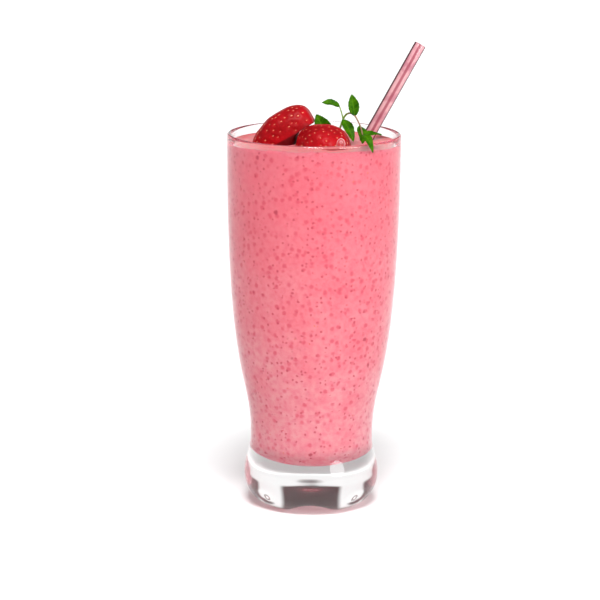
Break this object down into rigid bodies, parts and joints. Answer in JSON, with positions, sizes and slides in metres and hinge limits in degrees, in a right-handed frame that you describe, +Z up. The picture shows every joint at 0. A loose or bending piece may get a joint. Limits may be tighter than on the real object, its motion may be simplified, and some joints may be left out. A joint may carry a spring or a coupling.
{
  "type": "strawberry smoothie in a glass",
  "caption": "Tall footed glass filled to near the lip with pink smoothie, topped with strawberry halves, a herb sprig and a leaning drinking straw.",
  "frame": {"origin": "centre of the flat underside of the glass, where its axis meets the table", "axes": "+Z up along the glass's axis, +X to the right towards the straw's top, +Y to the back"},
  "size_m": [0.0885, 0.078, 0.2101],
  "materials": {
    "clear_glass": "clear pressed soda-lime glass, smooth and polished",
    "smoothie": "opaque pink blended fruit with darker red flecks, moist surface",
    "straw_plastic": "clear pink plastic tube, smooth",
    "strawberry": "glossy red fruit skin with pale seeds",
    "herb": "fresh green leaf with a soft sheen"
  },
  "bodies": {
    "root": {"glass": "clear_glass", "smoothie": "smoothie", "straw": "straw_plastic", "strawberry_leaning": "strawberry", "strawberry_lying": "strawberry", "herb_sprig": "herb", "herb_leaf": "herb"}
  },
  "joints": []
}
